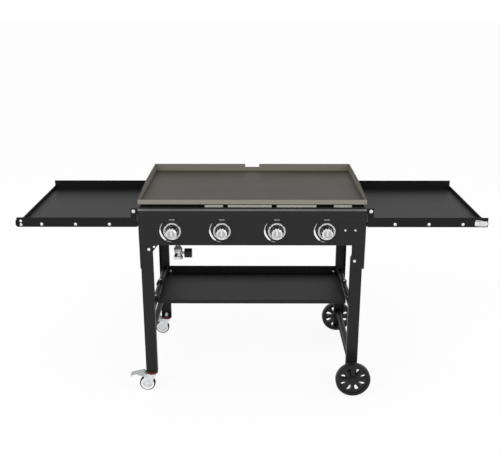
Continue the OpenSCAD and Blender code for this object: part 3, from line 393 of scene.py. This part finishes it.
# A gusset between the left leg bracket and the panel, with a washer painted near white: painted glint
BRACKET_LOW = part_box("front_leg_brackets")[0]
GUSSET_X = (BRACKET_LOW.x + 53 * MM, BRACKET_LOW.x + 74 * MM)
GUSSET_Z = (PANEL_LOW.z - 28 * MM, PANEL_LOW.z + 6 * MM)
GUSSET_TIP = 6 * MM
GUSSET_Y = BRACKET_LOW.y + 1.2 * MM
GUSSET_T = 1.1 * MM
WASHER_AT = (BRACKET_LOW.x + 59 * MM, PANEL_LOW.z - 7 * MM)
WASHER_R = (0.6 * MM, 4.2 * MM)
WASHER_T = 1.3 * MM
left, right = GUSSET_X
bottom, top = GUSSET_Z
gusset = strip_mesh("gusset", [(left, top), (right, top)], [(left, bottom), (right, top - GUSSET_TIP)],
                    GUSSET_Y, GUSSET_T)
piece("gusset", gusset, LOOKS["powder_black"], "body")
gusset_front = GUSSET_Y - GUSSET_T
# The washer takes the near-white screw colour: painted glint
washer = ring_mesh("gusset_washer", WASHER_AT, WASHER_R, (gusset_front - WASHER_T, gusset_front))
piece("gusset_washer", washer, SCREW_PAINTED_GLINT, "body")


# Floor, light and camera

FLOOR_HALF = 40.0
FLOOR_GLOW = 0.9
SEEN_WHITE = 1.0
SOFT_LIGHT = 0.8
LAMP_SIZE = 2.4
LAMP_AIM = (0, 0, 0.6)
CAMERA_AT = (0, -3.034, 1.6217)
CAMERA_TILT = 71.61
CAMERA_TURN = 0.18
CAMERA_LENS = 52.56
CAMERA_SENSOR = 36


def seen_rays(tree):
    """1 on the rays that show a surface to the camera, straight, mirrored or through glass."""
    path = tree.nodes.new("ShaderNodeLightPath")
    last = path.outputs["Is Camera Ray"]
    for kind in ("Is Glossy Ray", "Is Transmission Ray"):
        either = tree.nodes.new("ShaderNodeMath")
        either.operation = "MAXIMUM"
        link(tree, last, either.inputs[0])
        link(tree, path.outputs[kind], either.inputs[1])
        last = either.outputs[0]
    return last


def shader_mix(tree, share, first, second):
    node = tree.nodes.new("ShaderNodeMixShader")
    link(tree, share, node.inputs["Fac"])
    link(tree, first, node.inputs[1])
    link(tree, second, node.inputs[2])
    return node.outputs[0]


def glowing_floor(name, share):
    """White paper that glows by this share where it is seen, and takes the shadow with the rest."""
    mat = bpy.data.materials.new(name)
    mat.use_nodes = True
    tree = mat.node_tree
    shader = tree.nodes["Principled BSDF"]
    shader.inputs["Base Color"].default_value = WHITE
    shader.inputs["Roughness"].default_value = 1.0
    shader.inputs["Specular IOR Level"].default_value = 0.0
    glow = tree.nodes.new("ShaderNodeEmission")
    part = tree.nodes.new("ShaderNodeMath")
    part.operation = "MULTIPLY"
    link(tree, seen_rays(tree), part.inputs[0])
    part.inputs[1].default_value = share
    both = shader_mix(tree, part.outputs[0], shader.outputs[0], glow.outputs[0])
    link(tree, both, tree.nodes["Material Output"].inputs["Surface"])
    return mat


def background(tree, strength):
    node = tree.nodes.new("ShaderNodeBackground")
    node.inputs["Color"].default_value = WHITE
    node.inputs["Strength"].default_value = strength
    return node.outputs[0]


floor = bpy.data.objects.new("floor", bpy.data.meshes.new("floor"))
bpy.context.scene.collection.objects.link(floor)
corners = [(-FLOOR_HALF, -FLOOR_HALF, 0), (FLOOR_HALF, -FLOOR_HALF, 0),
           (FLOOR_HALF, FLOOR_HALF, 0), (-FLOOR_HALF, FLOOR_HALF, 0)]
floor.data.from_pydata(corners, [], [(0, 1, 2, 3)])
floor.data.materials.append(glowing_floor("floor_pale", FLOOR_GLOW))

scene = bpy.context.scene
scene.view_settings.view_transform = "Standard"
world = bpy.data.worlds.new("studio")
scene.world = world
world.use_nodes = True
tree = world.node_tree
tree.nodes.clear()
sky = shader_mix(tree, seen_rays(tree), background(tree, SOFT_LIGHT), background(tree, SEEN_WHITE))
link(tree, sky, tree.nodes.new("ShaderNodeOutputWorld").inputs["Surface"])


def lamp(name, place, power):
    data = bpy.data.lights.new(name, "AREA")
    data.shape = "DISK"
    data.size = LAMP_SIZE
    data.energy = power
    obj = bpy.data.objects.new(name, data)
    scene.collection.objects.link(obj)
    obj.location = place
    obj.rotation_euler = (Vector(LAMP_AIM) - Vector(place)).to_track_quat("-Z", "Y").to_euler()


lamp("key", place=(-1.8, -3.0, 3.6), power=60)
lamp("fill", place=(2.6, -2.0, 2.2), power=22)

# The camera was fitted to the edges in the photograph
camera = bpy.data.objects.new("camera", bpy.data.cameras.new("camera"))
scene.collection.objects.link(camera)
camera.data.lens = CAMERA_LENS
camera.data.sensor_width = CAMERA_SENSOR
camera.location = CAMERA_AT
camera.rotation_euler = (math.radians(CAMERA_TILT), 0, math.radians(CAMERA_TURN))
scene.camera = camera
